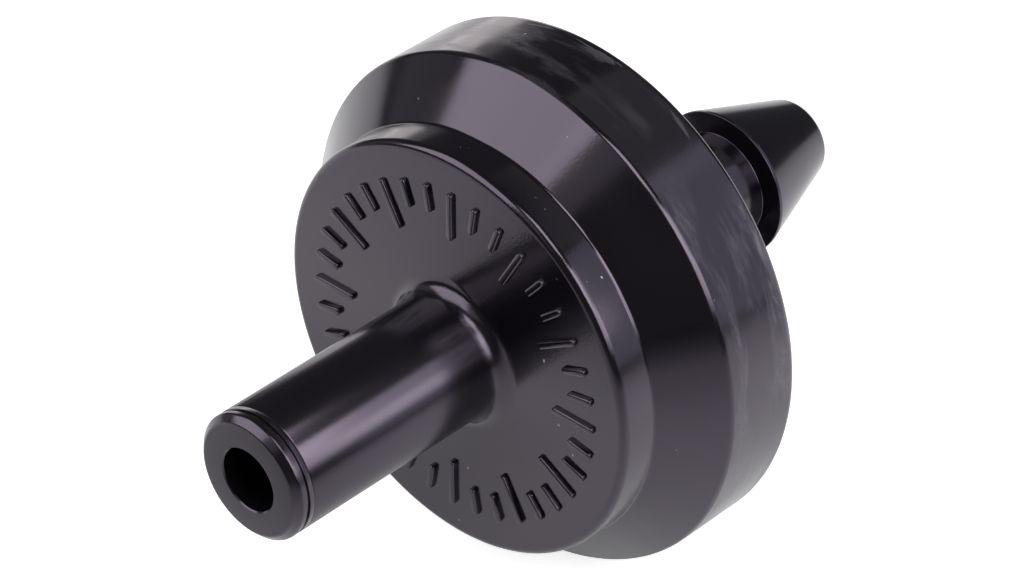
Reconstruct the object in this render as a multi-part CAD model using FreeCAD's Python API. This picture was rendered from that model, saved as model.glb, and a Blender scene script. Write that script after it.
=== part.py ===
"""Pressure-compensating drip emitter: a round two-part housing with a barbed inlet and a plain outlet spigot.

Everything is turned about the Y axis. The outlet spigot points along -Y and the inlet barb along +Y.
The origin is on the axis at the seat, the flat end of the inlet hub that meets the wall of the supply pipe.
Water enters the barb, passes the strainer into the inlet chamber, goes round the edge of the silicone
diaphragm into the labyrinth, then through the regulating chamber and the lip to the outlet bore.
All sizes are in millimetres.
"""

import FreeCAD, Part
import math
import os

from FreeCAD import Rotation, Vector

# Outlet spigot, the plain tube on the front
spigot_od = 4.2
outlet_bore_d = 2.1
spigot_length = 8.7
spigot_end_round = 0.27
spigot_root_fillet = 0.6
mouth_chamfer = 0.1

# Front boss, a low round step that carries the spigot
boss_face_d = 14.08
boss_height = 1.31
boss_draft_deg = 1.5
boss_edge_chamfer = 0.12

# Main disc, a cone from the boss out to the rim
body_od = 17.42
cone_angle_deg = 45.0
rim_width = 2.97
rim_rear_chamfer = 0.18

# Walls and cavity of the outlet body
front_wall = 1.2
boss_wall = 1.24
skirt_wall = 1.2
skirt_mouth_chamfer = 0.2
snap_groove_depth = 0.2
snap_groove_width = 0.7

# Labyrinth disc, an insert that lies against the inside of the front wall
disc_thickness = 1.4
disc_edge_chamfer = 0.1
channel_depth = 0.6
channel_inner_d = 4.6
channel_width = 1.6
channel_start_deg = 30.0
channel_sweep_deg = 330.0
tooth_pairs = 14
tooth_height = 0.98
tooth_root_width = 0.46
tooth_tip_width = 0.18
port_d = 0.6
inlet_port_radius = 4.6
transfer_port_radius = 1.75
regulating_chamber_d = 6.0
regulating_chamber_depth = 0.35
lip_od = 2.2
lip_drop = 0.1
lip_hole_d = 1.0
bleed_notch_width = 0.3
bleed_notch_depth = 0.12

# Silicone diaphragm, a loose disc between the labyrinth disc and the stand-off ribs
diaphragm_d = 8.4
diaphragm_thickness = 1.0
diaphragm_travel = 0.3
diaphragm_side_play = 0.1

# Inlet cap, the rear half with the barb
cap_recess = 0.2
cap_flange_thickness = 2.1
cap_edge_chamfer = 0.25
snap_bead_height = 0.15
snap_bead_width = 0.5
clamp_ring_wall = 0.65
rib_count = 6
rib_height = 0.35
standoff_rib_width = 0.5
guide_rib_width = 0.6
rib_inner_radius = 1.1
strainer_thickness = 0.5
strainer_holes = 5
strainer_hole_d = 0.36
strainer_circle_d = 1.04
hub_height = 4.0
hub_base_d = 10.0
hub_seat_d = 5.2
hub_base_chamfer = 0.3

# Barb on the inlet
inlet_bore_d = 1.7
neck_d = 3.6
neck_length = 2.59
barb_d = 5.06
barb_land = 0.08
barb_length = 3.82
barb_tip_d = 2.66
barb_tip_round = 0.25

# Fits
assembly_clearance = 0.03
running_clearance = 0.02
cut_margin = 1.0

# Stations along the axis, from the inlet tip at +Y to the spigot end at -Y
barb_tip_y = neck_length + barb_length
shoulder_y = neck_length
seat_y = 0.0
rim_rear_y = seat_y - hub_height
rim_front_y = rim_rear_y - rim_width
boss_base_d = boss_face_d + 2 * boss_height * math.tan(math.radians(boss_draft_deg))
cone_depth = (body_od - boss_base_d) / 2 / math.tan(math.radians(cone_angle_deg))
boss_base_y = rim_front_y - cone_depth
boss_face_y = boss_base_y - boss_height
spigot_end_y = boss_face_y - spigot_length
front_wall_y = boss_face_y + front_wall
disc_rear_y = front_wall_y + disc_thickness
diaphragm_front_y = disc_rear_y + diaphragm_travel + running_clearance
diaphragm_rear_y = diaphragm_front_y + diaphragm_thickness
rib_tip_y = diaphragm_rear_y + running_clearance
cap_inner_y = rib_tip_y + rib_height
cap_rear_y = rim_rear_y - cap_recess
flange_front_y = cap_rear_y - cap_flange_thickness
snap_y = (cap_rear_y + flange_front_y) / 2
hub_slope = (hub_base_d - hub_seat_d) / 2 / (seat_y - cap_rear_y)

# Diameters that follow from the walls and clearances
chamber_d = boss_base_d - 2 * boss_wall
socket_d = body_od - 2 * skirt_wall
disc_d = chamber_d - 2 * assembly_clearance
flange_d = socket_d - 2 * assembly_clearance
clamp_ring_od = chamber_d - 2 * assembly_clearance
clamp_ring_id = clamp_ring_od - 2 * clamp_ring_wall
guide_radius = diaphragm_d / 2 + diaphragm_side_play

AXIS_START = Vector(0, 0, 0)
AXIS = Vector(0, 1, 0)


def outline(corners):
    """Closed wire in the radius and axis plane. Each corner is (radius, station, rounding)."""
    points = [Vector(radius, station, 0) for radius, station, _ in corners]
    arcs = []
    for i, (_, _, rounding) in enumerate(corners):
        corner = points[i]
        back = (points[i - 1] - corner).normalize()
        ahead = (points[(i + 1) % len(points)] - corner).normalize()
        half_angle = back.getAngle(ahead) / 2
        setback = rounding / math.tan(half_angle)
        inward = (back + ahead).normalize()
        middle = corner + inward * (rounding / math.sin(half_angle) - rounding)
        arcs.append((corner + back * setback, middle, corner + ahead * setback, rounding))
    edges = []
    for i, (start, middle, end, rounding) in enumerate(arcs):
        if rounding > 0:
            edges.append(Part.Arc(start, middle, end).toShape())
        next_start = arcs[(i + 1) % len(arcs)][0]
        edges.append(Part.LineSegment(end, next_start).toShape())
    return Part.Wire(edges)


def turned(corners, sweep=360):
    """Solid of revolution about the axis, from the corners of its outline."""
    return Part.Face(outline(corners)).revolve(AXIS_START, AXIS, sweep)


def ring(inner_radius, outer_radius, y_from, y_to):
    """Plain ring, or a disc where the inner radius is zero."""
    outer = Part.makeCylinder(outer_radius, y_to - y_from, Vector(0, y_from, 0), AXIS)
    if inner_radius == 0:
        return outer
    hole = Part.makeCylinder(inner_radius, y_to - y_from + 2 * cut_margin, Vector(0, y_from - cut_margin, 0), AXIS)
    return outer.cut(hole)


def turned_by(shape, degrees):
    """Copy of a shape turned about the axis."""
    copy = shape.copy()
    copy.rotate(AXIS_START, AXIS, degrees)
    return copy


def radial_bar(r_from, r_to, width, y_from, y_to):
    """Bar that runs outwards along X from one radius to another."""
    return Part.makeBox(r_to - r_from, y_to - y_from, width, Vector(r_from, y_from, -width / 2))


def axial_hole(radius, diameter, y_from, y_to):
    """Cutter for a hole parallel to the axis, at a radius along X."""
    return Part.makeCylinder(diameter / 2, y_to - y_from, Vector(radius, y_from, 0), AXIS)


def outlet_body():
    """Front shell: spigot, boss, cone and rim in one moulding, open to the rear for the inlet cap."""
    bore_r = outlet_bore_d / 2
    spigot_r = spigot_od / 2
    socket_r = socket_d / 2
    groove_r = socket_r + snap_groove_depth
    groove_half = snap_groove_width / 2
    corners = [
        (bore_r, spigot_end_y + mouth_chamfer, 0),
        (bore_r + mouth_chamfer, spigot_end_y, 0),
        (spigot_r, spigot_end_y, spigot_end_round),
        (spigot_r, boss_face_y, spigot_root_fillet),
        (boss_face_d / 2 - boss_edge_chamfer, boss_face_y, 0),
        (boss_face_d / 2, boss_face_y + boss_edge_chamfer, 0),
        (boss_base_d / 2, boss_base_y, 0),
        (body_od / 2, rim_front_y, 0),
        (body_od / 2, rim_rear_y - rim_rear_chamfer, 0),
        (body_od / 2 - rim_rear_chamfer, rim_rear_y, 0),
        (socket_r + skirt_mouth_chamfer, rim_rear_y, 0),
        (socket_r, rim_rear_y - skirt_mouth_chamfer, 0),
        (socket_r, snap_y + groove_half, 0),
        (groove_r, snap_y + groove_half - snap_groove_depth, 0),
        (groove_r, snap_y - groove_half + snap_groove_depth, 0),
        (socket_r, snap_y - groove_half, 0),
        (socket_r, flange_front_y, 0),
        (chamber_d / 2, flange_front_y, 0),
        (chamber_d / 2, front_wall_y, 0),
        (bore_r, front_wall_y, 0),
    ]
    return turned(corners)


def tooth(root_radius, tip_radius):
    """Cutter-length labyrinth tooth along X: wide at the wall that carries it and narrow at its tip."""
    root = tooth_root_width / 2
    tip = tooth_tip_width / 2
    face_y = front_wall_y - cut_margin
    flat = [
        Vector(root_radius, face_y, -root),
        Vector(tip_radius, face_y, -tip),
        Vector(tip_radius, face_y, tip),
        Vector(root_radius, face_y, root),
    ]
    face = Part.Face(Part.makePolygon(flat + flat[:1]))
    return face.extrude(Vector(0, channel_depth + 2 * cut_margin, 0))


def labyrinth_channel():
    """The winding water path itself: a ring-shaped groove with teeth left standing from both walls in turn."""
    inner_r = channel_inner_d / 2
    outer_r = inner_r + channel_width
    floor_y = front_wall_y + channel_depth
    groove = turned(
        [
            (inner_r, front_wall_y - cut_margin, 0),
            (outer_r, front_wall_y - cut_margin, 0),
            (outer_r, floor_y, 0),
            (inner_r, floor_y, 0),
        ],
        channel_sweep_deg,
    )
    groove = turned_by(groove, channel_start_deg)
    root_overlap = tooth_root_width / 2
    outward = tooth(inner_r - root_overlap, inner_r + tooth_height)
    inward = tooth(outer_r + root_overlap, outer_r - tooth_height)
    pitch = channel_sweep_deg / (2 * tooth_pairs + 1)
    teeth = []
    for i in range(tooth_pairs):
        first = channel_start_deg + pitch * (2 * i + 1)
        teeth.append(turned_by(outward, first))
        teeth.append(turned_by(inward, first + pitch))
    return groove.cut(Part.makeCompound(teeth))


def labyrinth_disc():
    """Insert with the labyrinth on its front face and the regulating chamber and lip on its rear face."""
    chamber_r = regulating_chamber_d / 2
    chamber_floor_y = disc_rear_y - regulating_chamber_depth
    lip_y = disc_rear_y - lip_drop
    disc = turned(
        [
            (lip_hole_d / 2, front_wall_y, 0),
            (disc_d / 2 - disc_edge_chamfer, front_wall_y, 0),
            (disc_d / 2, front_wall_y + disc_edge_chamfer, 0),
            (disc_d / 2, disc_rear_y - disc_edge_chamfer, 0),
            (disc_d / 2 - disc_edge_chamfer, disc_rear_y, 0),
            (chamber_r, disc_rear_y, 0),
            (chamber_r, chamber_floor_y, 0),
            (lip_od / 2, chamber_floor_y, 0),
            (lip_od / 2, lip_y, 0),
            (lip_hole_d / 2, lip_y, 0),
        ]
    )
    inner_r = channel_inner_d / 2
    outer_r = inner_r + channel_width
    slot_front_y = front_wall_y - cut_margin
    floor_y = front_wall_y + channel_depth
    start = channel_start_deg + port_d / 2 / outer_r * 180 / math.pi
    end = channel_start_deg + channel_sweep_deg - port_d / 2 / inner_r * 180 / math.pi
    feed_slot = radial_bar(outer_r - port_d / 2, inlet_port_radius, port_d, slot_front_y, floor_y)
    feed_port = axial_hole(inlet_port_radius, port_d, slot_front_y, disc_rear_y + cut_margin)
    transfer_slot = radial_bar(transfer_port_radius, inner_r + port_d / 2, port_d, slot_front_y, floor_y)
    transfer_port = axial_hole(transfer_port_radius, port_d, slot_front_y, disc_rear_y + cut_margin)
    bleed = radial_bar(0, lip_od, bleed_notch_width, lip_y - bleed_notch_depth, lip_y + cut_margin)
    cutters = [
        labyrinth_channel(),
        turned_by(feed_slot, start),
        turned_by(feed_port, start),
        turned_by(transfer_slot, end),
        turned_by(transfer_port, end),
        bleed,
    ]
    return disc.cut(cutters)


def diaphragm():
    """Silicone disc, cut from sheet, shown off its seat as it stands with no water pressure."""
    return ring(0, diaphragm_d / 2, diaphragm_front_y, diaphragm_rear_y)


def cap_ribs():
    """Stand-off ribs that keep the diaphragm off the cap, each with a guide rib that centres the diaphragm."""
    ring_r = clamp_ring_id / 2
    overlap = clamp_ring_wall / 2
    standoff = radial_bar(rib_inner_radius, ring_r + overlap, standoff_rib_width, rib_tip_y, cap_inner_y + overlap)
    guide_front_y = disc_rear_y + running_clearance
    guide = radial_bar(guide_radius, ring_r + overlap, guide_rib_width, guide_front_y, cap_inner_y + overlap)
    step = 360 / rib_count
    return [turned_by(bar, i * step) for i in range(rib_count) for bar in (standoff, guide)]


def inlet_cap():
    """Rear half: flange that snaps into the skirt, clamp ring, hub, neck and barb in one moulding."""
    bore_r = inlet_bore_d / 2
    neck_r = neck_d / 2
    barb_r = barb_d / 2
    flange_r = flange_d / 2
    bead_r = flange_r + snap_bead_height
    bead_half = snap_bead_width / 2
    bore_end_y = cap_inner_y + strainer_thickness
    body = turned(
        [
            (0, cap_inner_y, 0),
            (clamp_ring_id / 2, cap_inner_y, 0),
            (clamp_ring_id / 2, disc_rear_y, 0),
            (clamp_ring_od / 2, disc_rear_y, 0),
            (clamp_ring_od / 2, flange_front_y, 0),
            (flange_r - cap_edge_chamfer, flange_front_y, 0),
            (flange_r, flange_front_y + cap_edge_chamfer, 0),
            (flange_r, snap_y - bead_half, 0),
            (bead_r, snap_y - bead_half + snap_bead_height, 0),
            (bead_r, snap_y + bead_half - snap_bead_height, 0),
            (flange_r, snap_y + bead_half, 0),
            (flange_r, cap_rear_y - cap_edge_chamfer, 0),
            (flange_r - cap_edge_chamfer, cap_rear_y, 0),
            (hub_base_d / 2 + hub_base_chamfer, cap_rear_y, 0),
            (hub_base_d / 2 - hub_base_chamfer * hub_slope, cap_rear_y + hub_base_chamfer, 0),
            (hub_seat_d / 2, seat_y, 0),
            (neck_r, seat_y, 0),
            (neck_r, shoulder_y, 0),
            (barb_r, shoulder_y, 0),
            (barb_r, shoulder_y + barb_land, 0),
            (barb_tip_d / 2, barb_tip_y, barb_tip_round),
            (bore_r + mouth_chamfer, barb_tip_y, 0),
            (bore_r, barb_tip_y - mouth_chamfer, 0),
            (bore_r, bore_end_y, 0),
            (0, bore_end_y, 0),
        ]
    )
    hole = axial_hole(strainer_circle_d / 2, strainer_hole_d, cap_inner_y - cut_margin, bore_end_y + cut_margin)
    strainer = [turned_by(hole, i * 360 / strainer_holes) for i in range(strainer_holes)]
    return body.fuse(cap_ribs()).removeSplitter().cut(strainer)


PIECES = {
    "outlet_body": outlet_body,
    "labyrinth_disc": labyrinth_disc,
    "diaphragm": diaphragm,
    "inlet_cap": inlet_cap,
}

os.makedirs("parts", exist_ok=True)
for name, make in PIECES.items():
    shape = make()
    shape.exportStep(os.path.join("parts", name + ".step"))
    print(f"{name}: {len(shape.Solids)} solid, {len(shape.Faces)} faces, {shape.Volume:.2f} mm3, valid {shape.isValid()}")
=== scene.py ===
import math

import bmesh
import bpy
from mathutils import Matrix, Vector


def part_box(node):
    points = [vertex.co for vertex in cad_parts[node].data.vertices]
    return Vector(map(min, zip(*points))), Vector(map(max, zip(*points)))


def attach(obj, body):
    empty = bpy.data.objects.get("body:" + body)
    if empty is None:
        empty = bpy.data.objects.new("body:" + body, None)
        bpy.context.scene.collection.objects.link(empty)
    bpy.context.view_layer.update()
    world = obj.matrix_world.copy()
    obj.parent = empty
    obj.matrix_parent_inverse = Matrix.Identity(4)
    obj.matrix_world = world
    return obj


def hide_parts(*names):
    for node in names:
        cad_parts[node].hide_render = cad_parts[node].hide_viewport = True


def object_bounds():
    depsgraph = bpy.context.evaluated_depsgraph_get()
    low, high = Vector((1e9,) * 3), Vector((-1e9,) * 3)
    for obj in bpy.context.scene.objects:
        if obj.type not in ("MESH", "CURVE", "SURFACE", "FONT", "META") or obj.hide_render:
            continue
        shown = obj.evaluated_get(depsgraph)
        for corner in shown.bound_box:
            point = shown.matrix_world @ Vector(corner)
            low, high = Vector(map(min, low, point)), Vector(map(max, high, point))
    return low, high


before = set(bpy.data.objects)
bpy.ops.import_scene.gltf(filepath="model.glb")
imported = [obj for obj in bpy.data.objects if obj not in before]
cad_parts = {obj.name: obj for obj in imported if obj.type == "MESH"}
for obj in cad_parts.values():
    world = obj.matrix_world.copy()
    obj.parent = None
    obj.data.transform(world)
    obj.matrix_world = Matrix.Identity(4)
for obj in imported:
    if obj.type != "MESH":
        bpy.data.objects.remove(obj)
cad_low, cad_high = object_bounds()

# ---------------------------------------------------------------------------------------------------------
# Outlet body: spigot, boss, cone and rim in one black acetal moulding, open to the rear.
# It is turned here from its outline, with the fine groove where the mould's end insert met the spigot.
# The corners are rounded as the mould's own corners are, and the flats keep flat shading.
# ---------------------------------------------------------------------------------------------------------
mm = 0.001
body_low, body_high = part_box("outlet_body")
disc_low, disc_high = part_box("labyrinth_disc")

spigot_end_y = body_low.y
spigot_radius = 2.1 * mm
spigot_chamfer_width = 0.23 * mm
spigot_chamfer_length = 0.22 * mm
spigot_edge_round = 0.12 * mm
spigot_root_round = 0.6 * mm
bore_radius = 1.05 * mm
bore_chamfer = 0.04 * mm

insert_groove_y = spigot_end_y + 0.46 * mm
insert_groove_depth = 0.06 * mm
insert_groove_floor = 0.08 * mm
insert_groove_front_slope = 0.04 * mm
insert_groove_rear_slope = 0.02 * mm
faint_line_y = spigot_end_y + 0.71 * mm
faint_line_depth = 0.02 * mm
faint_line_width = 0.08 * mm

boss_face_y = spigot_end_y + 8.7 * mm
boss_face_radius = 7.04 * mm
boss_edge_round = 0.28 * mm
boss_base_y = boss_face_y + 1.31 * mm
boss_base_radius = 7.051 * mm
boss_base_round = 0.18 * mm

rim_radius = body_high.x
rim_rear_y = body_high.y
rim_front_y = boss_base_y + (rim_radius - boss_base_radius)
rim_front_round = 0.28 * mm
rim_rear_round = 0.3 * mm

disc_clearance = 0.03 * mm
chamber_radius = disc_high.x + disc_clearance
front_wall_y = disc_low.y
socket_radius = rim_radius - 1.2 * mm
socket_chamfer = 0.2 * mm
socket_edge_round = 0.05 * mm
flange_front_y = rim_rear_y - 2.3 * mm
snap_y = rim_rear_y - 1.25 * mm
snap_groove_depth = 0.2 * mm
snap_groove_floor = 0.3 * mm
snap_groove_mouth = 0.7 * mm

turn_steps = 256
corner_steps = 6
sharp_angle = math.radians(32)


def made(name, bm):
    """Object at the origin whose mesh is a finished bmesh."""
    mesh = bpy.data.meshes.new(name)
    bm.to_mesh(mesh)
    bm.free()
    piece = bpy.data.objects.new(name, mesh)
    bpy.context.scene.collection.objects.link(piece)
    return piece


def smoothed(mesh, angle):
    """Shade a mesh smooth, but for the edges that turn by more than an angle."""
    for face in mesh.polygons:
        face.use_smooth = True
    mesh.set_sharp_from_angle(angle=angle)


def turned(name, corners, loop=True):
    """Shell turned about the Y axis. Its outline of (radius, station, rounding) corners is a loop,
    or starts and ends on the axis."""
    bm = bmesh.new()
    points = [bm.verts.new((radius, station, 0)) for radius, station, _ in corners]
    for first, second in zip(points, points[1:]):
        bm.edges.new((first, second))
    if loop:
        bm.edges.new((points[-1], points[0]))
    for point, (_, _, rounding) in zip(points, corners):
        if rounding > 0:
            ways = [edge.other_vert(point).co - point.co for edge in point.link_edges]
            setback = rounding / math.tan(ways[0].angle(ways[1]) / 2)
            bmesh.ops.bevel(
                bm, geom=[point], offset=setback, offset_type="OFFSET", segments=corner_steps,
                profile=0.5, affect="VERTICES", material=-1,
            )
    bmesh.ops.spin(
        bm, geom=bm.verts[:] + bm.edges[:], cent=(0, 0, 0), axis=(0, 1, 0),
        angle=2 * math.pi, steps=turn_steps, use_merge=True,
    )
    bmesh.ops.remove_doubles(bm, verts=bm.verts[:], dist=1e-7)
    bmesh.ops.recalc_face_normals(bm, faces=bm.faces[:])
    piece = made(name, bm)
    smoothed(piece.data, sharp_angle)
    flats = piece.modifiers.new("flat_faces", "WEIGHTED_NORMAL")
    flats.keep_sharp = True
    flats.weight = 100
    return piece


def noise(tree, place, scale, detail=2.0, roughness=0.5, distortion=0.0):
    """Value of a noise texture at a place."""
    node = tree.nodes.new("ShaderNodeTexNoise")
    node.inputs["Scale"].default_value = scale
    node.inputs["Detail"].default_value = detail
    node.inputs["Roughness"].default_value = roughness
    node.inputs["Distortion"].default_value = distortion
    tree.links.new(place, node.inputs["Vector"])
    return node.outputs["Fac"]


def stretched(tree, place, scale_y):
    """Place with its Y scaled. Above 1 a texture lies in rings round the part, and below 1 along it."""
    node = tree.nodes.new("ShaderNodeMapping")
    node.inputs["Scale"].default_value = (1.0, scale_y, 1.0)
    tree.links.new(place, node.inputs["Vector"])
    return node.outputs["Vector"]


def ramp(tree, value, low, high, to_low=0.0, to_high=1.0):
    """Value stretched from low..high to to_low..to_high, and held at its ends."""
    node = tree.nodes.new("ShaderNodeMapRange")
    node.inputs["From Min"].default_value = low
    node.inputs["From Max"].default_value = high
    node.inputs["To Min"].default_value = to_low
    node.inputs["To Max"].default_value = to_high
    tree.links.new(value, node.inputs["Value"])
    return node.outputs["Result"]


def maths(tree, operation, *values):
    """Result of a Math node on values, any of which may be a plain number."""
    node = tree.nodes.new("ShaderNodeMath")
    node.operation = operation
    for socket, value in zip(node.inputs, values):
        if isinstance(value, (int, float)):
            socket.default_value = value
        else:
            tree.links.new(value, socket)
    return node.outputs["Value"]


def between(tree, factor, first, second):
    """Colour between two others, by a factor from 0 to 1."""
    node = tree.nodes.new("ShaderNodeMix")
    node.data_type = "RGBA"
    node.inputs["A"].default_value = (*first, 1)
    node.inputs["B"].default_value = (*second, 1)
    tree.links.new(factor, node.inputs["Factor"])
    return node.outputs["Result"]


def bumped(tree, height, depth):
    """Normal of a surface that a height from 0 to 1 raises by up to a depth."""
    node = tree.nodes.new("ShaderNodeBump")
    node.inputs["Distance"].default_value = depth
    tree.links.new(height, node.inputs["Height"])
    return node.outputs["Normal"]


def effect_group(name, outputs):
    """Empty shader group to draw textures in, its place, and its output sockets."""
    group = bpy.data.node_groups.new(name, "ShaderNodeTree")
    group.interface.new_socket("Place", in_out="INPUT", socket_type="NodeSocketVector")
    for socket in outputs:
        group.interface.new_socket(socket, in_out="OUTPUT", socket_type="NodeSocketFloat")
    place = group.nodes.new("NodeGroupInput").outputs["Place"]
    return group, place, group.nodes.new("NodeGroupOutput").inputs


def effect(tree, group, place):
    """Outputs of a shader group drawn in a material."""
    node = tree.nodes.new("ShaderNodeGroup")
    node.node_tree = group
    tree.links.new(place, node.inputs["Place"])
    return node.outputs


def new_material(name, ior):
    """New material, its node tree, its shader and the Object coordinates in it."""
    material = bpy.data.materials.new(name)
    material.use_nodes = True
    tree = material.node_tree
    shader = tree.nodes["Principled BSDF"]
    shader.inputs["IOR"].default_value = ior
    return material, tree, shader, tree.nodes.new("ShaderNodeTexCoord").outputs["Object"]


# Moulded grain: the fine orange-peel of a spark-eroded mould, with a softer waviness under it.
grain, grain_place, grain_out = effect_group("moulded_grain", ["Height", "Mottle"])
fine = maths(grain, "MULTIPLY", noise(grain, grain_place, 12 / mm, roughness=0.6), 0.8)
coarse = maths(grain, "MULTIPLY", noise(grain, grain_place, 2.6 / mm), 0.2)
grain.links.new(maths(grain, "ADD", fine, coarse), grain_out["Height"])
waves = noise(grain, grain_place, 0.5 / mm, detail=1.0)
grain.links.new(ramp(grain, waves, 0.35, 0.65), grain_out["Mottle"])

# Handling wear: soft smears and nicks that run round the part, lines along it from the mould, and dust.
wear, wear_place, wear_out = effect_group("handling_wear", ["Scuff", "Nicks", "Draw Lines", "Dust"])
rings = stretched(wear, wear_place, 5.0)
smears = noise(wear, rings, 0.26 / mm, detail=5.0, roughness=0.65, distortion=0.3)
patches = noise(wear, wear_place, 0.19 / mm)
scuffed = maths(wear, "MULTIPLY", ramp(wear, smears, 0.47, 0.68), ramp(wear, patches, 0.38, 0.6))
wear.links.new(scuffed, wear_out["Scuff"])
knocks = noise(wear, rings, 0.52 / mm, detail=3.0, roughness=0.6, distortion=0.5)
wear.links.new(ramp(wear, knocks, 0.58, 0.66, 0.0, 1.5), wear_out["Nicks"])
drawn = noise(wear, stretched(wear, wear_place, 0.05), 3.2 / mm, detail=3.0, roughness=0.6)
wear.links.new(drawn, wear_out["Draw Lines"])
specks = noise(wear, wear_place, 7 / mm, detail=0.0)
dusty_spots = noise(wear, wear_place, 0.7 / mm, detail=0.0)
dust = maths(wear, "MULTIPLY", ramp(wear, specks, 0.82, 0.86), ramp(wear, dusty_spots, 0.7, 0.76))
wear.links.new(dust, wear_out["Dust"])

gloss_spread = 0.02
scuff_whiteness = 0.15
polish_end_y = boss_face_y - 0.05 * mm
polish_blend = 0.2 * mm
full_grain_reach = 0.1 * mm
half_grain_reach = 0.3 * mm
worn_front_y = rim_front_y - 0.1 * mm
worn_rear_y = rim_rear_y
worn_blend = 0.1 * mm
nick_reach = 0.9 * mm


def moulded_plastic(name, colour, dusty_colour, gloss, grain_depth, scuff_gloss, spigot_gloss=None):
    """Black moulded plastic with grain, scuffs and dust. With a spigot gloss, fine lines run along the
    spigot, the grain is full on the boss face alone, and only the rim is scuffed."""
    material, tree, shader, place = new_material(name, ior=1.65)
    shader.inputs["Specular Tint"].default_value = (0.93, 0.79, 1.0, 1)
    grained = effect(tree, grain, place)
    worn = effect(tree, wear, place)
    height = grained["Height"]
    scuff = worn["Scuff"]
    roughness = ramp(tree, grained["Mottle"], 0.0, 1.0, gloss - gloss_spread, gloss + gloss_spread)
    if spigot_gloss is not None:
        split = tree.nodes.new("ShaderNodeSeparateXYZ")
        tree.links.new(place, split.inputs["Vector"])
        station = split.outputs["Y"]
        off_face = maths(tree, "ABSOLUTE", maths(tree, "SUBTRACT", station, polish_end_y))
        faded = ramp(tree, off_face, full_grain_reach, half_grain_reach, 1.0, 0.5)
        height = maths(tree, "MULTIPLY", height, faded)

        behind_front = ramp(tree, station, worn_front_y, worn_front_y + 2 * worn_blend)
        before_rear = ramp(tree, station, worn_rear_y, worn_rear_y + worn_blend, 1.0, 0.0)
        on_rim = maths(tree, "MULTIPLY", behind_front, before_rear)
        by_rear_edge = ramp(tree, station, worn_rear_y - nick_reach, worn_rear_y - worn_blend)
        nicked = maths(tree, "MULTIPLY", worn["Nicks"], by_rear_edge)
        scuff = maths(tree, "MULTIPLY", maths(tree, "ADD", scuff, nicked), on_rim)

        polished = ramp(tree, worn["Draw Lines"], 0.35, 0.65, spigot_gloss - 0.02, spigot_gloss + 0.03)
        past_spigot = ramp(tree, station, polish_end_y - polish_blend, polish_end_y)
        blended = tree.nodes.new("ShaderNodeMix")
        tree.links.new(past_spigot, blended.inputs["Factor"])
        tree.links.new(polished, blended.inputs["A"])
        tree.links.new(roughness, blended.inputs["B"])
        roughness = blended.outputs["Result"]

    whitened = maths(tree, "ADD", maths(tree, "MULTIPLY", scuff, scuff_whiteness), worn["Dust"])
    tree.links.new(between(tree, whitened, colour, dusty_colour), shader.inputs["Base Color"])
    dulled = maths(tree, "ADD", roughness, maths(tree, "MULTIPLY", scuff, scuff_gloss))
    tree.links.new(dulled, shader.inputs["Roughness"])
    tree.links.new(bumped(tree, height, grain_depth), shader.inputs["Normal"])
    return material


black_acetal = moulded_plastic(
    "black_acetal", colour=(0.0030, 0.0026, 0.0036), dusty_colour=(0.35, 0.34, 0.38),
    gloss=0.145, grain_depth=0.0032 * mm, scuff_gloss=0.25, spigot_gloss=0.2,
)

outlet_shell = turned(
    "outlet_body_shell",
    [
        (bore_radius, spigot_end_y + bore_chamfer, 0),
        (bore_radius + bore_chamfer, spigot_end_y, 0),
        (spigot_radius - spigot_chamfer_width, spigot_end_y, spigot_edge_round),
        (spigot_radius, spigot_end_y + spigot_chamfer_length, spigot_edge_round),
        (spigot_radius, insert_groove_y - insert_groove_floor / 2 - insert_groove_front_slope, 0),
        (spigot_radius - insert_groove_depth, insert_groove_y - insert_groove_floor / 2, 0),
        (spigot_radius - insert_groove_depth, insert_groove_y + insert_groove_floor / 2, 0),
        (spigot_radius, insert_groove_y + insert_groove_floor / 2 + insert_groove_rear_slope, 0),
        (spigot_radius, faint_line_y - faint_line_width / 2, 0),
        (spigot_radius - faint_line_depth, faint_line_y, 0),
        (spigot_radius, faint_line_y + faint_line_width / 2, 0),
        (spigot_radius, boss_face_y, spigot_root_round),
        (boss_face_radius, boss_face_y, boss_edge_round),
        (boss_base_radius, boss_base_y, boss_base_round),
        (rim_radius, rim_front_y, rim_front_round),
        (rim_radius, rim_rear_y, rim_rear_round),
        (socket_radius + socket_chamfer, rim_rear_y, socket_edge_round),
        (socket_radius, rim_rear_y - socket_chamfer, 0),
        (socket_radius, snap_y + snap_groove_mouth / 2, 0),
        (socket_radius + snap_groove_depth, snap_y + snap_groove_floor / 2, 0),
        (socket_radius + snap_groove_depth, snap_y - snap_groove_floor / 2, 0),
        (socket_radius, snap_y - snap_groove_mouth / 2, 0),
        (socket_radius, flange_front_y, 0),
        (chamber_radius, flange_front_y, 0),
        (chamber_radius, front_wall_y, 0),
        (bore_radius, front_wall_y, 0),
    ],
)
outlet_shell.data.materials.append(black_acetal)
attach(outlet_shell, "housing")
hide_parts("outlet_body")

# ---------------------------------------------------------------------------------------------------------
# Face graduations: a ring of plain raised strokes on the boss face, longer at every third.
# They are part of the outlet body's moulding, and stand a seventh of a millimetre proud.
# ---------------------------------------------------------------------------------------------------------
stroke_count = 36
strokes_per_long_one = 3
stroke_outer_radius = 5.85 * mm
long_stroke = 1.65 * mm
short_stroke = 0.95 * mm
stroke_width = 0.24 * mm
stroke_rise = 0.14 * mm
stroke_end_round = 0.1 * mm
stroke_top_round = 0.06 * mm
stroke_sharp_angle = math.radians(40)


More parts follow.
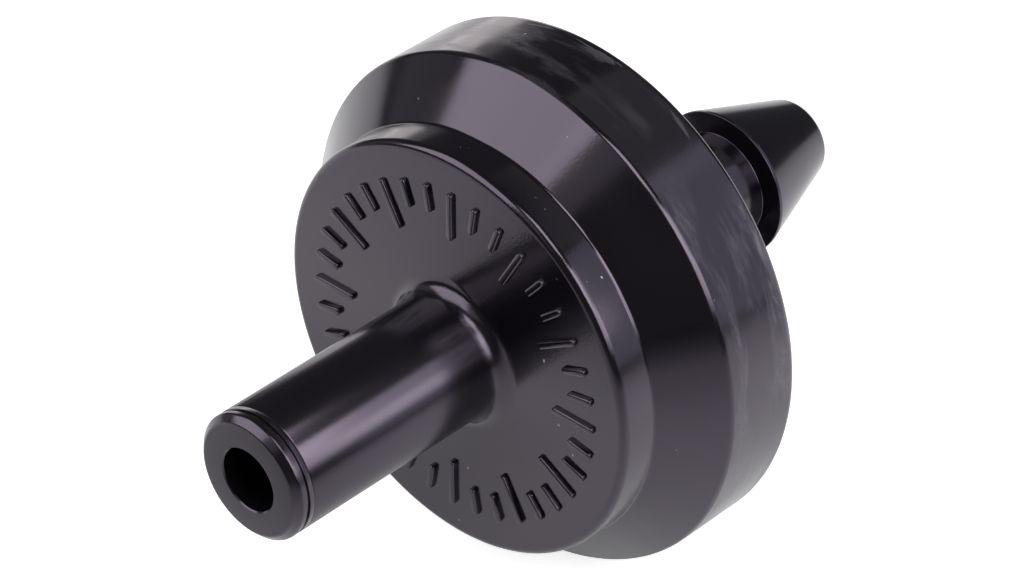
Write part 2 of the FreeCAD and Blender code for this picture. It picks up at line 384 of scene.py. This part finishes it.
def raised_stroke(length):
    """Mesh of one stroke along X, centred on the origin. Half of it is sunk, and the other half, towards
    -Y, has rounded ends and a rounded top."""
    bm = bmesh.new()
    bmesh.ops.create_cube(bm, size=1.0)
    bmesh.ops.scale(bm, vec=(length, 2 * stroke_rise, stroke_width), verts=bm.verts[:])
    upright = [e for e in bm.edges if abs(e.verts[0].co.y - e.verts[1].co.y) > stroke_rise]
    bmesh.ops.bevel(
        bm, geom=upright, offset=stroke_end_round, offset_type="OFFSET", segments=4,
        profile=0.5, affect="EDGES", material=-1,
    )
    top = [e for e in bm.edges if max(v.co.y for v in e.verts) < -0.9 * stroke_rise]
    bmesh.ops.bevel(
        bm, geom=top, offset=stroke_top_round, offset_type="OFFSET", segments=3,
        profile=0.5, affect="EDGES", material=-1,
    )
    mesh = bpy.data.meshes.new("raised_stroke")
    bm.to_mesh(mesh)
    bm.free()
    return mesh


ring = bmesh.new()
for i in range(stroke_count):
    length = short_stroke if i % strokes_per_long_one else long_stroke
    stroke = raised_stroke(length)
    stroke.transform(Matrix.Translation((stroke_outer_radius - length / 2, boss_face_y, 0)))
    stroke.transform(Matrix.Rotation(2 * math.pi * i / stroke_count, 4, "Y"))
    ring.from_mesh(stroke)
    bpy.data.meshes.remove(stroke)
bmesh.ops.recalc_face_normals(ring, faces=ring.faces[:])
graduations = made("face_graduations", ring)
smoothed(graduations.data, stroke_sharp_angle)
graduations.data.materials.append(black_acetal)
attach(graduations, "housing")

# ---------------------------------------------------------------------------------------------------------
# Labyrinth disc: matt black polypropylene insert, moulded with the winding channel on its front.
# It lies against the front wall and the cap's clamp ring holds it there.
# ---------------------------------------------------------------------------------------------------------
black_polypropylene = moulded_plastic(
    "black_polypropylene", colour=(0.02, 0.02, 0.022), dusty_colour=(0.3, 0.3, 0.3),
    gloss=0.42, grain_depth=0.006 * mm, scuff_gloss=0.05,
)
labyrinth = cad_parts["labyrinth_disc"]
labyrinth.data.materials.clear()
labyrinth.data.materials.append(black_polypropylene)

# ---------------------------------------------------------------------------------------------------------
# Diaphragm: a loose disc punched from dark silicone sheet, a little cloudy and dull.
# It floats between the cap's ribs and the labyrinth disc, and the water presses it towards the disc's lip.
# ---------------------------------------------------------------------------------------------------------
dark_silicone, tree, shader, place = new_material("dark_silicone", ior=1.41)
cloud = noise(tree, place, 0.7 / mm, detail=3.0)
clouded = between(tree, cloud, (0.055, 0.055, 0.060), (0.085, 0.085, 0.090))
tree.links.new(clouded, shader.inputs["Base Color"])
tree.links.new(ramp(tree, cloud, 0.3, 0.7, 0.5, 0.62), shader.inputs["Roughness"])
tree.links.new(bumped(tree, noise(tree, place, 6 / mm), 0.003 * mm), shader.inputs["Normal"])
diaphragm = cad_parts["diaphragm"]
diaphragm.data.materials.clear()
diaphragm.data.materials.append(dark_silicone)

# ---------------------------------------------------------------------------------------------------------
# Inlet cap: flange, hub, neck and barb in one black acetal moulding.
# Its clamp ring presses on the labyrinth disc, and its bead snaps into the rim's groove from behind.
# ---------------------------------------------------------------------------------------------------------
cap_inner_y = front_wall_y + 3.09 * mm
cap_clearance = 0.03 * mm
clamp_ring_wall = 0.65 * mm
clamp_ring_outer = chamber_radius - cap_clearance
clamp_ring_inner = clamp_ring_outer - clamp_ring_wall
clamp_ring_round = 0.1 * mm

cap_rear_y = rim_rear_y - 0.2 * mm
flange_radius = socket_radius - cap_clearance
flange_chamfer = 0.25 * mm
flange_edge_round = 0.2 * mm
bead_height = 0.15 * mm
bead_crest = 0.2 * mm
bead_foot = 0.5 * mm

hub_foot_radius = 5.0 * mm
hub_foot_round = 0.5 * mm
hub_end_radius = 2.6 * mm
hub_end_round = 0.04 * mm
seat_y = 0.0
neck_radius = 1.8 * mm
neck_seat_round = 0.05 * mm
neck_shoulder_round = 0.04 * mm

shoulder_y = 2.59 * mm
barb_radius = 2.53 * mm
barb_land = 0.12 * mm
barb_shoulder_round = 0.03 * mm
barb_land_round = 0.05 * mm
barb_tip_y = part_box("inlet_cap")[1].y
barb_tip_radius = 1.33 * mm
barb_tip_round = 0.4 * mm
inlet_bore_radius = 0.85 * mm
inlet_bore_chamfer = 0.08 * mm
strainer_rear_y = cap_inner_y + 0.5 * mm

inlet_cap = turned(
    "inlet_cap_moulding",
    [
        (0, cap_inner_y, 0),
        (clamp_ring_inner, cap_inner_y, clamp_ring_round),
        (clamp_ring_inner, disc_high.y, 0),
        (clamp_ring_outer, disc_high.y, 0),
        (clamp_ring_outer, flange_front_y, 0),
        (flange_radius - flange_chamfer, flange_front_y, 0),
        (flange_radius, flange_front_y + flange_chamfer, 0),
        (flange_radius, snap_y - bead_foot / 2, 0),
        (flange_radius + bead_height, snap_y - bead_crest / 2, 0),
        (flange_radius + bead_height, snap_y + bead_crest / 2, 0),
        (flange_radius, snap_y + bead_foot / 2, 0),
        (flange_radius, cap_rear_y, flange_edge_round),
        (hub_foot_radius, cap_rear_y, hub_foot_round),
        (hub_end_radius, seat_y, hub_end_round),
        (neck_radius, seat_y, neck_seat_round),
        (neck_radius, shoulder_y, neck_shoulder_round),
        (barb_radius, shoulder_y, barb_shoulder_round),
        (barb_radius, shoulder_y + barb_land, barb_land_round),
        (barb_tip_radius, barb_tip_y, barb_tip_round),
        (inlet_bore_radius + inlet_bore_chamfer, barb_tip_y, 0),
        (inlet_bore_radius, barb_tip_y - inlet_bore_chamfer, 0),
        (inlet_bore_radius, strainer_rear_y, 0),
        (0, strainer_rear_y, 0),
    ],
    loop=False,
)


def carved(piece, operation, tool_bm):
    """Join closed shapes to a turned piece's mesh, or cut them away, and mark its sharp edges anew."""
    tool = made("tool", tool_bm)
    tool_mesh = tool.data
    step = piece.modifiers.new("step", "BOOLEAN")
    step.operation = operation
    step.solver = "EXACT"
    step.use_self = operation == "UNION"
    step.object = tool
    piece.modifiers["flat_faces"].show_viewport = False
    bpy.context.view_layer.update()
    depsgraph = bpy.context.evaluated_depsgraph_get()
    piece_mesh = bpy.data.meshes.new_from_object(piece.evaluated_get(depsgraph))
    piece.modifiers.remove(step)
    piece.modifiers["flat_faces"].show_viewport = True
    bpy.data.objects.remove(tool)
    bpy.data.meshes.remove(tool_mesh)
    piece.data = piece_mesh
    smoothed(piece_mesh, sharp_angle)


# Six stand-off ribs keep the diaphragm off the cap, and a deeper guide rib at the end of each centres it.
rib_count = 6
rib_outer_radius = clamp_ring_inner + 0.3 * mm
rib_root_y = cap_inner_y + 0.3 * mm
stand_off_inner_radius = 1.1 * mm
stand_off_width = 0.5 * mm
stand_off_front_y = cap_inner_y - 0.35 * mm
guide_inner_radius = 4.3 * mm
guide_width = 0.6 * mm
guide_front_y = disc_high.y + 0.02 * mm

ribs = bmesh.new()
for i in range(rib_count):
    turn = Matrix.Rotation(2 * math.pi * i / rib_count, 3, "Y")
    for inner_radius, width, front_y in (
        (stand_off_inner_radius, stand_off_width, stand_off_front_y),
        (guide_inner_radius, guide_width, guide_front_y),
    ):
        size = (rib_outer_radius - inner_radius, rib_root_y - front_y, width)
        middle = ((rib_outer_radius + inner_radius) / 2, (rib_root_y + front_y) / 2, 0)
        bar = bmesh.ops.create_cube(ribs, size=1.0)["verts"]
        bmesh.ops.scale(ribs, vec=size, verts=bar)
        bmesh.ops.translate(ribs, vec=middle, verts=bar)
        bmesh.ops.rotate(ribs, cent=(0, 0, 0), matrix=turn, verts=bar)
carved(inlet_cap, "UNION", ribs)

# Five strainer holes lead from the inlet bore into the chamber.
strainer_count = 5
strainer_hole_radius = 0.18 * mm
strainer_ring_radius = 0.52 * mm
drill_length = 1.2 * mm

holes = bmesh.new()
for i in range(strainer_count):
    drill = bmesh.ops.create_cone(
        holes, cap_ends=True, segments=32, radius1=strainer_hole_radius, radius2=strainer_hole_radius,
        depth=drill_length,
    )["verts"]
    middle = (strainer_ring_radius, (cap_inner_y + strainer_rear_y) / 2, 0)
    turn = Matrix.Rotation(2 * math.pi * i / strainer_count, 3, "Y")
    bmesh.ops.rotate(holes, cent=(0, 0, 0), matrix=Matrix.Rotation(math.pi / 2, 3, "X"), verts=drill)
    bmesh.ops.translate(holes, vec=middle, verts=drill)
    bmesh.ops.rotate(holes, cent=(0, 0, 0), matrix=turn, verts=drill)
carved(inlet_cap, "DIFFERENCE", holes)
inlet_cap.data.materials.clear()
inlet_cap.data.materials.append(black_acetal)
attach(inlet_cap, "housing")
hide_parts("inlet_cap")

# ---------------------------------------------------------------------------------------------------------
# Table: a wide sheet of white paper, which the rim of the part touches.
# It looks white to the camera, and its painted shade and painted glow show as tones in the glossy black
# plastic.
# ---------------------------------------------------------------------------------------------------------
table_half_width = 0.8
table_z = cad_low.z
front_right = math.radians(45)
before_spigot = (-6 * mm, -31 * mm, table_z)
before_face = (-3 * mm, -14.5 * mm, table_z)
under_body = (-3 * mm, -9 * mm, table_z)
beside_rim = (24 * mm, 4 * mm, table_z)

sheet = bmesh.new()
bmesh.ops.create_grid(sheet, x_segments=1, y_segments=1, size=table_half_width)
bmesh.ops.translate(sheet, vec=(0, 0, table_z), verts=sheet.verts[:])
table_top = made("table_top", sheet)

table_white, tree, shader, place = new_material("table_white", ior=1.5)
shader.inputs["Roughness"].default_value = 0.9
shader.inputs["Emission Color"].default_value = (1, 1, 1, 1)


def around(tree, place, spot, near, far, at_spot, away):
    """Value round a spot on the table, which goes from one level to another between two distances."""
    node = tree.nodes.new("ShaderNodeVectorMath")
    node.operation = "DISTANCE"
    node.inputs[1].default_value = spot
    tree.links.new(place, node.inputs[0])
    return ramp(tree, node.outputs["Value"], near, far, at_spot, away)


askew = tree.nodes.new("ShaderNodeMapping")
askew.inputs["Rotation"].default_value = (0, 0, front_right)
tree.links.new(place, askew.inputs["Vector"])
split = tree.nodes.new("ShaderNodeSeparateXYZ")
tree.links.new(askew.outputs["Vector"], split.inputs["Vector"])
forward = split.outputs["X"]

# Painted shade in the paper's colour: dimmer towards the front right, and a painted shadow of the spigot
# before the spigot's end.
spigot_shade = around(tree, place, before_spigot, near=3 * mm, far=11 * mm, at_spot=0.55, away=1.0)
painted_paper_shade = maths(tree, "MULTIPLY", ramp(tree, forward, 20 * mm, 80 * mm, 1.0, 0.3), spigot_shade)
fibres = ramp(tree, noise(tree, place, 0.3 / mm), 0.0, 1.0, 0.72, 0.76)
grey = maths(tree, "MULTIPLY", fibres, painted_paper_shade)
paper = tree.nodes.new("ShaderNodeCombineColor")
for channel in ("Red", "Green", "Blue"):
    tree.links.new(grey, paper.inputs[channel])
tree.links.new(paper.outputs["Color"], shader.inputs["Base Color"])

# The camera sees it lifted to white, out to where it ends.
near_white = ramp(tree, painted_paper_shade, 0.3, 1.0, 0.95, 0.75)
far_white = around(tree, place, (0, 0, 0), near=50 * mm, far=200 * mm, at_spot=0.0, away=0.3)
seen_glow = maths(tree, "ADD", near_white, far_white)

# Glossy faces mirror painted light: the paper glows brighter behind the part, in a pool beside its rim and
# before its face, and painted shadows keep it dark under the body and dim it before the spigot's end.
rear_glow = ramp(tree, forward, -5 * mm, 35 * mm, 0.5, 0.0)
# Painted pool of light beside the rim.
painted_light_pool_by_rim = around(tree, place, beside_rim, near=0.0, far=26 * mm, at_spot=0.3, away=0.0)
# Painted shadow under the body: no glow near the spot under it.
painted_shadow_under_body = around(tree, place, under_body, near=4 * mm, far=14 * mm, at_spot=0.0, away=1.0)
face_glow = around(tree, place, before_face, near=4 * mm, far=12 * mm, at_spot=0.16, away=0.0)
outer_glow = maths(tree, "MULTIPLY", maths(tree, "ADD", rear_glow, painted_light_pool_by_rim), painted_shadow_under_body)
mirrored_glow = maths(tree, "MULTIPLY", maths(tree, "ADD", outer_glow, face_glow), spigot_shade)

rays = tree.nodes.new("ShaderNodeLightPath").outputs
by_camera = maths(tree, "MULTIPLY", rays["Is Camera Ray"], seen_glow)
in_mirror = maths(tree, "MAXIMUM", rays["Is Glossy Ray"], rays["Is Transmission Ray"])
by_mirror = maths(tree, "MULTIPLY", in_mirror, mirrored_glow)
tree.links.new(maths(tree, "ADD", by_camera, by_mirror), shader.inputs["Emission Strength"])
table_top.data.materials.append(table_white)

# ---------------------------------------------------------------------------------------------------------
# Room and lamps: a dim grey room that looks white to the camera, and soft boxes that face the part.
# The key lights it from the front left. The side, shoulder and top boxes draw highlights on its right, and
# the wall, the glow and the fill light its outline from behind. Each spill softens the light next to it.
# ---------------------------------------------------------------------------------------------------------
world = bpy.data.worlds.new("grey_room")
bpy.context.scene.world = world
world.use_nodes = True
tree = world.node_tree
camera_ray = tree.nodes.new("ShaderNodeLightPath").outputs["Is Camera Ray"]
room = between(tree, camera_ray, (0.085, 0.085, 0.09), (1, 1, 1))
background = tree.nodes["Background"]
tree.links.new(room, background.inputs["Color"])
background.inputs["Strength"].default_value = 1.0

lamp_aim = Vector((0, -6 * mm, 0))


def from_part(azimuth, elevation):
    """Unit vector from the part towards an azimuth and elevation in radians. Azimuth 0 is along -Y."""
    return Vector((
        math.sin(azimuth) * math.cos(elevation),
        -math.cos(azimuth) * math.cos(elevation),
        math.sin(elevation),
    ))


def soft_box(name, azimuth, elevation, distance, width, height, radiance, colour=(1, 1, 1)):
    """Rectangular lamp of a given radiance that faces the part from an azimuth and elevation in degrees."""
    light = bpy.data.lights.new(name, "AREA")
    light.shape = "RECTANGLE"
    light.size = width
    light.size_y = height
    light.energy = radiance * math.pi * width * height
    light.color = colour
    lamp = bpy.data.objects.new(name, light)
    bpy.context.scene.collection.objects.link(lamp)
    way = from_part(math.radians(azimuth), math.radians(elevation))
    lamp.location = lamp_aim + way * distance
    lamp.rotation_mode = "QUATERNION"
    lamp.rotation_quaternion = way.to_track_quat("Z", "Y")


soft_box("key_light", azimuth=-39.5, elevation=39, distance=0.25, width=0.230, height=0.204, radiance=2.9)
soft_box("key_spill", azimuth=2, elevation=42, distance=0.26, width=0.09, height=0.16, radiance=0.45)
soft_box("left_spill", azimuth=-76, elevation=14, distance=0.25, width=0.08, height=0.10, radiance=0.2)
soft_box("side_light", azimuth=90, elevation=23, distance=0.083, width=0.074, height=0.022, radiance=2.3)
soft_box("side_spill", azimuth=90, elevation=30, distance=0.085, width=0.076, height=0.062, radiance=1.6)
soft_box("shoulder_light", azimuth=76, elevation=40, distance=0.085, width=0.045, height=0.032, radiance=3.8)
soft_box("top_light", azimuth=60, elevation=66, distance=0.12, width=0.045, height=0.055, radiance=4.6)
soft_box(
    "side_wall", azimuth=128, elevation=22, distance=0.25, width=0.266, height=0.24, radiance=0.85,
    colour=(0.82, 0.88, 1.0),
)
soft_box("back_glow", azimuth=172, elevation=52, distance=0.25, width=0.20, height=0.08, radiance=0.2)
soft_box(
    "fill_light", azimuth=-127, elevation=4, distance=0.25, width=0.13, height=0.07, radiance=1.6,
    colour=(1.0, 0.95, 0.93),
)
soft_box("fill_spill", azimuth=-127, elevation=13.5, distance=0.26, width=0.13, height=0.065, radiance=0.3)

# ---------------------------------------------------------------------------------------------------------
# Camera: a long lens that looks down on the part from the right of its spigot.
# The bore, the graduated face, the whole rim and the barb behind it are all in view.
# ---------------------------------------------------------------------------------------------------------
camera_azimuth = math.radians(43.04)
camera_elevation = math.radians(35.59)
camera_distance = 130.2 * mm
camera_aim = Vector((0.548 * mm, -7.841 * mm, 1.596 * mm))
camera_data = bpy.data.cameras.new("camera")
camera_data.sensor_width = 36
camera_data.lens = 149.92
camera_data.clip_start = 0.01
camera_data.clip_end = 10
camera = bpy.data.objects.new("camera", camera_data)
bpy.context.scene.collection.objects.link(camera)
back = from_part(camera_azimuth, camera_elevation)
camera.location = camera_aim + back * camera_distance
camera.rotation_mode = "QUATERNION"
camera.rotation_quaternion = (-back).to_track_quat("-Z", "Y")
bpy.context.scene.camera = camera
bpy.context.scene.view_settings.view_transform = "Standard"
